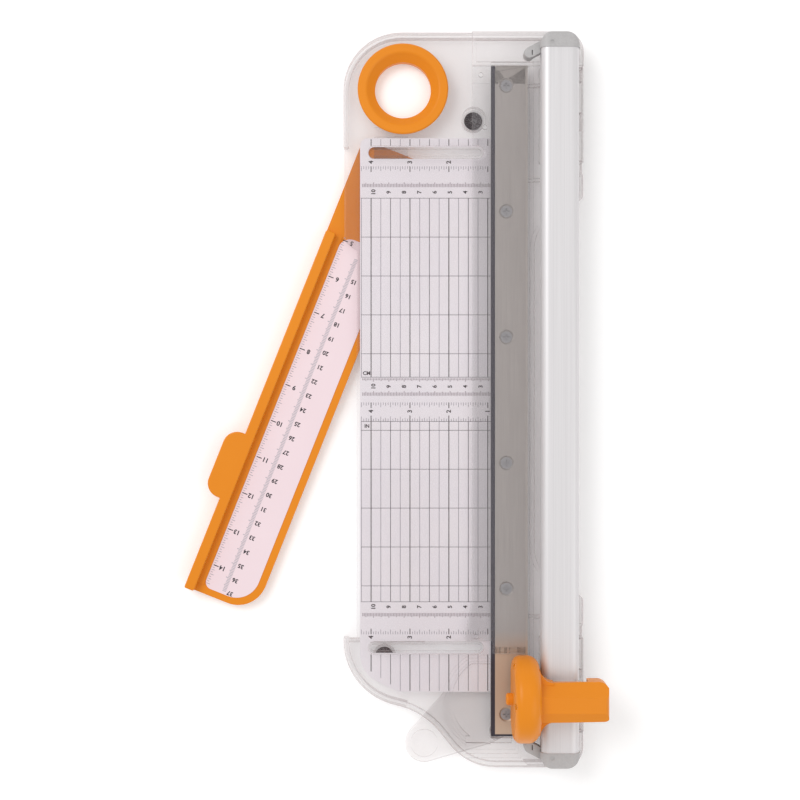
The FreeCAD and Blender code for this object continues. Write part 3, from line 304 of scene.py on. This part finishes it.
# Round blade: hardened tool steel, ground on both faces, so that fine grinding marks
# break up its shine.
ground_steel, ground_tree, ground_shader = new_finish("ground_steel", metallic=1.0)
grind_marks = noise_on(ground_tree, 300.0, 3.0, (1.0, 4.0, 4.0))
ground_tone = toned(ground_tree, grind_marks, (0.62, 0.62, 0.63), (0.76, 0.76, 0.77))
ground_tree.links.new(ground_tone, ground_shader.inputs["Base Color"])
ground_tree.links.new(ranged(ground_tree, grind_marks, 0.14, 0.3), ground_shader.inputs["Roughness"])
finish_nodes(ground_steel, "rotary_blade")


# Running pieces: the glide block, the blade's hub and washer and the arm's washer are
# natural nylon, a milky off-white with a slight cloud in it.
nylon, nylon_tree, nylon_shader = new_finish("natural_nylon")
nylon_cloud = noise_on(nylon_tree, 40.0, 3.0)
nylon_tone = toned(nylon_tree, nylon_cloud, (0.76, 0.75, 0.70), (0.84, 0.83, 0.79))
nylon_tree.links.new(nylon_tone, nylon_shader.inputs["Base Color"])
nylon_tree.links.new(ranged(nylon_tree, nylon_cloud, 0.38, 0.52), nylon_shader.inputs["Roughness"])
finish_nodes(nylon, "glide_block", "blade_hub", "hub_washer", "arm_washer")


# Rubber feet: black moulded rubber, matte and slightly dusty. They sit in round bosses
# under the base.
foot_rubber, rubber_tree, rubber_shader = new_finish("foot_rubber", roughness=0.75)
rubber_grain = noise_on(rubber_tree, 700.0, 3.0)
rubber_tone = toned(rubber_tree, rubber_grain, (0.028, 0.026, 0.032), (0.055, 0.052, 0.06))
rubber_tree.links.new(rubber_tone, rubber_shader.inputs["Base Color"])
bumped(rubber_tree, rubber_shader, rubber_grain, 0.3, 0.0002)
finish_nodes(foot_rubber, "rubber_feet")


# Labels: white polyester film with a satin face and a very soft mottle. The grid label is laid
# under the clear deck, and the arm's label, a little pinker, on top of the arm.
def label_film(name, dark, light):
    """Satin film that the scales are printed on."""
    material, tree, shader = new_finish(name)
    mottle = noise_on(tree, 30.0, 3.0)
    tree.links.new(toned(tree, mottle, dark, light), shader.inputs["Base Color"])
    tree.links.new(ranged(tree, mottle, 0.36, 0.48), shader.inputs["Roughness"])
    return material


grid_film = label_film("grid_film", (0.96, 0.94, 1.0), (1.0, 0.975, 1.0))
finish_nodes(grid_film, "grid_label")
arm_film = label_film("arm_film", (0.82, 0.66, 0.70), (0.85, 0.70, 0.735))
finish_nodes(arm_film, "arm_label")


# Grid label printing: four screen inks about 30 microns thick. Two blocks of quarter-inch lines,
# with inch and centimetre scales between them and at both ends. X counts from the cut line and
# Y from the middle, both in millimetres.
def ink(name, dark, light):
    """Screen ink with a slight unevenness in its cover."""
    material, tree, shader = new_finish(name)
    cover = noise_on(tree, 600.0, 2.0)
    tree.links.new(toned(tree, cover, dark, light), shader.inputs["Base Color"])
    return material


inks = [ink("ink_black", (0.008, 0.007, 0.012), (0.02, 0.017, 0.025)),
        ink("ink_grey", (0.12, 0.11, 0.135), (0.16, 0.15, 0.175)),
        ink("ink_pale", (0.34, 0.32, 0.37), (0.40, 0.38, 0.43)),
        ink("ink_hatch", (0.47, 0.42, 0.46), (0.54, 0.49, 0.53))]
BLACK, GREY, PALE, HATCH = range(4)
MM = 0.001
INCH = 25.4
ink_thickness = 0.03
ink_sunk = 0.005


def bar(bm, x, y, width, length, ink_index):
    """One printed bar, centred at a place in millimetres."""
    size = Matrix.Diagonal((width, length, ink_thickness, 1.0))
    made = bmesh.ops.create_cube(bm, size=1.0, matrix=Matrix.Translation((x, y, ink_thickness / 2)) @ size)
    for face in {face for vert in made["verts"] for face in vert.link_faces}:
        face.material_index = ink_index


def numeral(bm, words, x, y, turn, cap_height):
    """Black numerals, centred at a place in millimetres, turned about their middle."""
    curve = bpy.data.curves.new("numeral", "FONT")
    curve.body = words
    curve.size = cap_height / 0.72
    curve.align_x = "CENTER"
    curve.align_y = "CENTER"
    curve.extrude = ink_thickness / 2
    curve.offset = 0.045 * cap_height
    curve.resolution_u = 3
    carrier = bpy.data.objects.new("numeral", curve)
    bpy.context.collection.objects.link(carrier)
    bpy.context.view_layer.update()
    flat = bpy.data.meshes.new_from_object(carrier)
    bpy.data.objects.remove(carrier)
    place = Matrix.Translation((x, y, ink_thickness / 2))
    flat.transform(place @ Matrix.Rotation(math.radians(turn), 4, "Z"))
    first_face = len(bm.faces)
    bm.from_mesh(flat)
    bm.faces.ensure_lookup_table()
    for face in bm.faces[first_face:]:
        face.material_index = BLACK
    bpy.data.meshes.remove(flat)
    bpy.data.curves.remove(curve)


def printed_piece(name, bm, place, body):
    """Lay finished printing on its label."""
    bmesh.ops.remove_doubles(bm, verts=bm.verts, dist=1e-4)
    bmesh.ops.transform(bm, matrix=place, verts=bm.verts)
    piece = piece_from(bm, name, inks, body)


plate_past_cut = 0.45
left_margin = 0.6
grid_low, grid_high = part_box("grid_label")
cut_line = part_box("cutting_plate")[1][0] - plate_past_cut * MM
print_left = (grid_low[0] - cut_line) / MM + left_margin
print_right = (grid_high[0] - cut_line) / MM
grid_print = bmesh.new()


def line_weight(quarters):
    """Width and ink of a line by its quarter inches from the cut: whole black, half grey, rest pale."""
    if quarters % 4 == 0:
        return 0.55, BLACK
    if quarters % 2 == 0:
        return 0.42, GREY
    return 0.38, PALE


def tick_length(sixteenth, quarter, eighth, plain):
    """How long a tick is, by the part of an inch that it marks."""
    if sixteenth % 4 == 0:
        return quarter
    if sixteenth % 2 == 0:
        return eighth
    return plain


def upright_line(quarters, y_low, y_high):
    """A line parallel to the cut, a number of quarter inches from it."""
    width, ink_index = line_weight(quarters)
    bar(grid_print, -quarters * INCH / 4, (y_low + y_high) / 2, width, y_high - y_low, ink_index)


def cross_line(y):
    """A thin line square to the cut, from one side of the label to the other."""
    bar(grid_print, (print_left + print_right) / 2, y, print_right - print_left, 0.32, GREY)


def inch_ticks(y, direction):
    """Sixteenths of an inch from a base line, longer at each eighth and quarter and black at each inch."""
    for sixteenth in range(16, 69):
        length = tick_length(sixteenth, 3.1, 2.2, 1.7)
        width = 0.34
        ink_index = PALE
        if sixteenth % 16 == 0:
            length = 3.7
            width = 0.55
            ink_index = BLACK
        bar(grid_print, -sixteenth * INCH / 16, y + direction * length / 2, width, length, ink_index)


def inch_numerals(y, first):
    """Inch numbers, their tops towards the outer edge."""
    for inch in range(first, 5):
        numeral(grid_print, str(inch), -inch * INCH, y, 90, 2.9)


def centimetre_ticks(y_low, y_high, direction):
    """A band of millimetre ticks that reach further at each half and whole centimetre."""
    for millimetre in range(24, 108):
        reach = 0.9 if millimetre % 10 == 0 else 0.5 if millimetre % 5 == 0 else 0.0
        top = y_high + reach * (direction > 0)
        bottom = y_low - reach * (direction < 0)
        bar(grid_print, -millimetre, (top + bottom) / 2, 0.6, top - bottom, HATCH)


def centimetre_numerals(y):
    """Centimetre numbers 3 to 10."""
    for centimetre in range(3, 11):
        numeral(grid_print, str(centimetre), -10 * centimetre, y, 90, 2.7)


first_line = 4
last_line = 17
last_strip_line = 16
top_strip = (166.0, 170.3)
upper_block = (14.9, 131.8)
lower_block = (-131.8, -14.0)
bottom_strip = (-189.9, -166.2)
lower_block_first_row = -19.8
rows_per_block = 5

for quarters in range(first_line, last_strip_line + 1):
    upright_line(quarters, *top_strip)
inch_numerals(y=155.3, first=2)
inch_ticks(y=152.6, direction=-1)
centimetre_ticks(y_low=139.0, y_high=141.2, direction=1)
centimetre_numerals(y=135.7)
for block in (upper_block, lower_block):
    for quarters in range(first_line, last_line + 1):
        upright_line(quarters, *block)
for row in range(rows_per_block):
    cross_line(upper_block[1] - row * INCH)
    cross_line(lower_block_first_row - row * INCH)
for block_edge in (upper_block[0], *lower_block):
    cross_line(block_edge)
centimetre_ticks(y_low=12.9, y_high=14.2, direction=-1)
centimetre_numerals(y=8.8)
centimetre_ticks(y_low=2.8, y_high=4.9, direction=1)
inch_ticks(y=-1.6, direction=-1)
inch_numerals(y=-7.4, first=1)
inch_ticks(y=-13.9, direction=1)
centimetre_numerals(y=-135.1)
centimetre_ticks(y_low=-141.3, y_high=-139.1, direction=-1)
inch_ticks(y=-153.0, direction=1)
inch_numerals(y=-154.9, first=2)

# The label's lower left corner is cut away, so the last lines there stop one step short each.
last_full_line = 13
corner_step = 4.2
for quarters in range(first_line, last_strip_line + 1):
    short_by = corner_step * max(0, quarters - last_full_line)
    upright_line(quarters, bottom_strip[0] + short_by, bottom_strip[1])
numeral(grid_print, "CM", -104.5, 17.4, turn=0, cap_height=2.4)
numeral(grid_print, "IN", -104.3, -17.1, turn=0, cap_height=2.3)
grid_place = Matrix.Translation((cut_line, 0.0, grid_high[2] - ink_sunk * MM)) @ Matrix.Scale(MM, 4)
printed_piece("grid_printing", grid_print, grid_place, "base")


# Arm label printing: inches along the fence side and centimetres along the other, both counted from
# the cut line when the arm stands square to it. Across counts from the fence's outer edge, and along
# from the pivot, both in millimetres.
arm_swing = next(joint for joint in frame["record"]["behaviour"]["joints"] if joint["name"] == "arm_swing")
arm_pivot = Vector(arm_swing["pos_m"])
arm_open = math.radians(-21.7)
fence_side = 30.6
pivot_to_cut = 88.6
ticks_across = 12.0
inch_numerals_across = 18.2
band_across = (23.6, 26.0)
centimetre_numerals_across = 28.9
arm_print = bmesh.new()


def arm_bar(across_low, across_high, along, width, ink_index):
    """One tick across the arm."""
    middle = (across_low + across_high) / 2 - fence_side
    bar(arm_print, middle, -along, across_high - across_low, width, ink_index)


for sixteenth in range(79, 233):
    along = sixteenth * INCH / 16 - pivot_to_cut
    if sixteenth % 16 == 0:
        arm_bar(ticks_across, ticks_across + 3.5, along, 0.6, BLACK)
        inch = str(sixteenth // 16)
        numeral(arm_print, inch, inch_numerals_across - fence_side, -along, turn=180, cap_height=3.0)
    else:
        arm_bar(ticks_across, ticks_across + tick_length(sixteenth, 2.5, 1.9, 1.3), along, 0.38, PALE)
for millimetre in range(136, 370):
    reach = 1.2 if millimetre % 10 == 0 else 0.6 if millimetre % 5 == 0 else 0.0
    arm_bar(band_across[0] - reach, band_across[1], millimetre - pivot_to_cut, 0.65, HATCH)

# The last number stands a little short of its tick, because the label ends there.
last_centimetre = 37
last_number_short_by = 0.9
for centimetre in range(15, last_centimetre + 1):
    along = 10 * centimetre - pivot_to_cut
    if centimetre == last_centimetre:
        along -= last_number_short_by
    across = centimetre_numerals_across - fence_side
    numeral(arm_print, str(centimetre), across, -along, turn=180, cap_height=2.8)
arm_label_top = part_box("arm_label")[1][2]
arm_place = (Matrix.Translation((arm_pivot.x, arm_pivot.y, arm_label_top - ink_sunk * MM))
             @ Matrix.Rotation(arm_open, 4, "Z") @ Matrix.Scale(MM, 4))
printed_piece("arm_printing", arm_print, arm_place, "arm")
